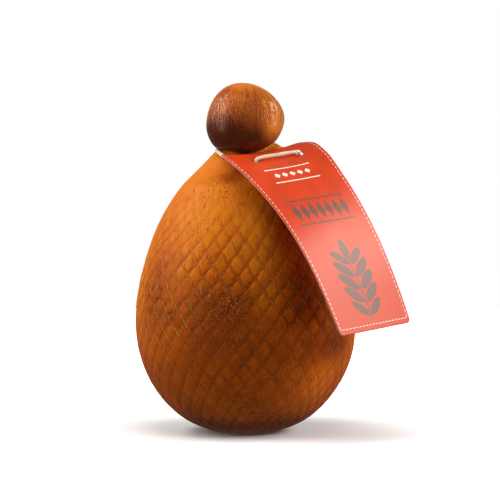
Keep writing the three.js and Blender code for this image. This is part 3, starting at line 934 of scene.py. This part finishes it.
def greyInk(x, y):
    f = tagPrint
    # band: tall lozenges, |x| / half width + |y| / half height below a limit in each cell, between two rules
    phase = ((x + f["bandHalf"]) * (f["bandCount"] / (2 * f["bandHalf"]))).calc("FRACT")
    spread = abs(phase.fade(-1.0, 1.0)) + abs(y - f["bandDown"]) * (1 / f["bandTall"])
    masks = [(spread < f["bandFill"]) * (abs(x) < f["bandHalf"])]
    for side in (-1, 1):
        down = f["bandDown"] + side * (f["bandTall"] + f["bandGap"])
        masks.append(inkBox(x, y, (0, down), f["bandHalf"], f["bandRule"]))
    # sprig: a stem with one leaf at its tip and pairs of leaves, longest at its middle
    top, foot = f["sprigTop"], f["sprigFoot"]
    stemTop = top + f["stemDown"]
    masks.append(inkBox(x, y, (0, (stemTop + foot) / 2), f["stemHalf"], (foot - stemTop) / 2))
    tipHalf = f["leafLength"] * f["tipShare"]
    masks.append(inkEllipse(x, y, (0, top + f["tipDown"]), tipHalf, f["leafWidth"], 90))
    levels = np.linspace(top + f["leafTop"], foot - f["leafFoot"], f["leafPairs"])
    for k, level in enumerate(levels, 1):
        size = f["leafSmallest"] + (1 - f["leafSmallest"]) * np.sin(np.pi * k / (f["leafPairs"] + 1))
        long, wide = f["leafLength"] * size, f["leafWidth"] * size
        for side in (-1, 1):
            centre = (side * (long * f["leafAside"] + f["leafGap"]), level - long * f["leafRaise"])
            masks.append(inkEllipse(x, y, centre, long, wide, -side * f["leafTilt"]))
    return reduce(or_, masks)


def tagMaterial(printed):
    f = tagPrint
    material, tree = newMaterial("card_print" if printed else "card_back")
    u, v = unrolledPlace(tree, "card")
    x, y = (u - 0.5) * tagForm["length"], (1.0 - v) * tagForm["length"]
    cloud = x.noiseWith(y, f["cloudScale"], 3.0)
    # the red dulls in random clouds of the card's own tone and, over its lower part, as painted shade
    color = (cloud.ramp(*f["cloudCut"]) | y.ramp(*f["shadeDown"])).mix(f["red"], f["mottledAndShadedRed"])
    if printed:
        color = (greyInk(x, y) * f["greyCover"]).mix(color, f["grey"])
        color = (whiteInk(x, y) * f["whiteCover"]).mix(color, f["white"])
    return dress(material, {
        "Base Color": color,
        "Roughness": cloud.fade(*f["roughness"]),
        "Normal": x.noiseWith(y, f["toothScale"]).bump(*f["bump"]),
        "Specular IOR Level": f["specular"],
    })


def edgeMaterial():
    f = tagPrint
    material, tree = newMaterial("card_edge")
    color = objectPlace(tree).noise(f["edgeGrain"], 2).mix(f["edge"], f["red"])
    return dress(material, {"Base Color": color, "Roughness": f["edgeRoughness"]})


def makeStage():
    f = studioSet
    size = f["floorSize"] * mm / 2
    mesh = bpy.data.meshes.new("studio_floor")
    corners = [(-size, -size, 0), (size, -size, 0), (size, size, 0), (-size, size, 0)]
    mesh.from_pydata(corners, [], [(0, 1, 2, 3)])
    floor = addObject(mesh)
    material, tree = newMaterial("pale_floor")
    place = objectPlace(tree)
    # the floor brightens to white away from the object, so it meets the backdrop without an edge
    reach = addNode(tree, "VectorMath", {0: place}, output=1, operation="LENGTH")
    mesh.materials.append(dress(material, {
        "Base Color": place.noise(f["floorLumps"], 2).mix(*f["floorColors"]),
        "Roughness": f["floorRoughness"],
        "Emission Color": (1, 1, 1, 1),
        "Emission Strength": reach.ramp(*f["floorGlow"]),
    }))
    # the white floor is kept out of the object's own light and reflections
    floor.visible_diffuse = False
    floor.visible_glossy = False


# puts a lamp or the camera at a turn, a rise and a distance (mm) from its aim, and faces it there
def aimObject(thing, aim, turn, rise, distance):
    az, el = turn * degree, rise * degree
    toward = Vector((np.sin(az) * np.cos(el), -np.cos(az) * np.cos(el), np.sin(el)))
    thing.location = (Vector(aim) + toward * distance) * mm
    thing.rotation_euler = (-toward).to_track_quat("-Z", "Y").to_euler()


# soft box: an area light facing the aim; some are seen only in shine, some only in plain light, and a warm
# one is tinted from white towards amber
def softBox(name, turn, rise, size, power, away=900, mirrored=True, lights=True, warm=0.05):
    f = studioSet
    light = bpy.data.lights.new(name, "AREA")
    light.shape = "RECTANGLE"
    light.size, light.size_y = size[0] * mm, size[1] * mm
    light.energy = power
    light.color = (1.0, 1 - f["warmGreen"] * warm, 1 - f["warmBlue"] * warm)
    lamp = addObject(light)
    lamp.visible_glossy = mirrored
    lamp.visible_diffuse = lights
    aimObject(lamp, f["aim"], turn, rise, away)


# world: white where the camera sees past the floor, and a dimmer even fill on the object
def makeWorld():
    world = bpy.data.worlds.new("studio")
    scene.world = world
    world.use_nodes = True
    tree = world.node_tree
    tree.nodes.clear()
    seen = addNode(tree, "LightPath")
    fill, white = [addNode(tree, "Background", {0: (1, 1, 1, 1), 1: studioSet[name]})
                   for name in ("ambient", "backdrop")]
    both = addNode(tree, "MixShader", {0: seen, 1: fill, 2: white})
    plug(both, tree.nodes.new("ShaderNodeOutputWorld").inputs[0])


def makeCamera():
    f = cameraSet
    camera = bpy.data.cameras.new("photo_camera")
    camera.sensor_fit = "HORIZONTAL"
    camera.sensor_width = f["sensor"]
    camera.lens = f["sensor"] * f["distance"] / f["pictureWidth"]
    camera.clip_end = f["farthest"]
    scene.camera = addObject(camera)
    aimObject(scene.camera, f["aim"], 0, f["elevation"], f["distance"])


makeCamera()
makeStage()
makeWorld()
for boxName, values in studioSet["boxes"].items():
    softBox(boxName, **values)
scene.view_settings.view_transform = "Standard"
print("studio set")

makeCheese().data.materials.append(cheeseMaterial())
twineFinish = twineMaterial()
for strand in makeTwine():
    strand.data.materials.append(twineFinish)
tag = makeTag()
for finish in (tagMaterial(True), tagMaterial(False), edgeMaterial()):
    tag.data.materials.append(finish)
print("pieces made")
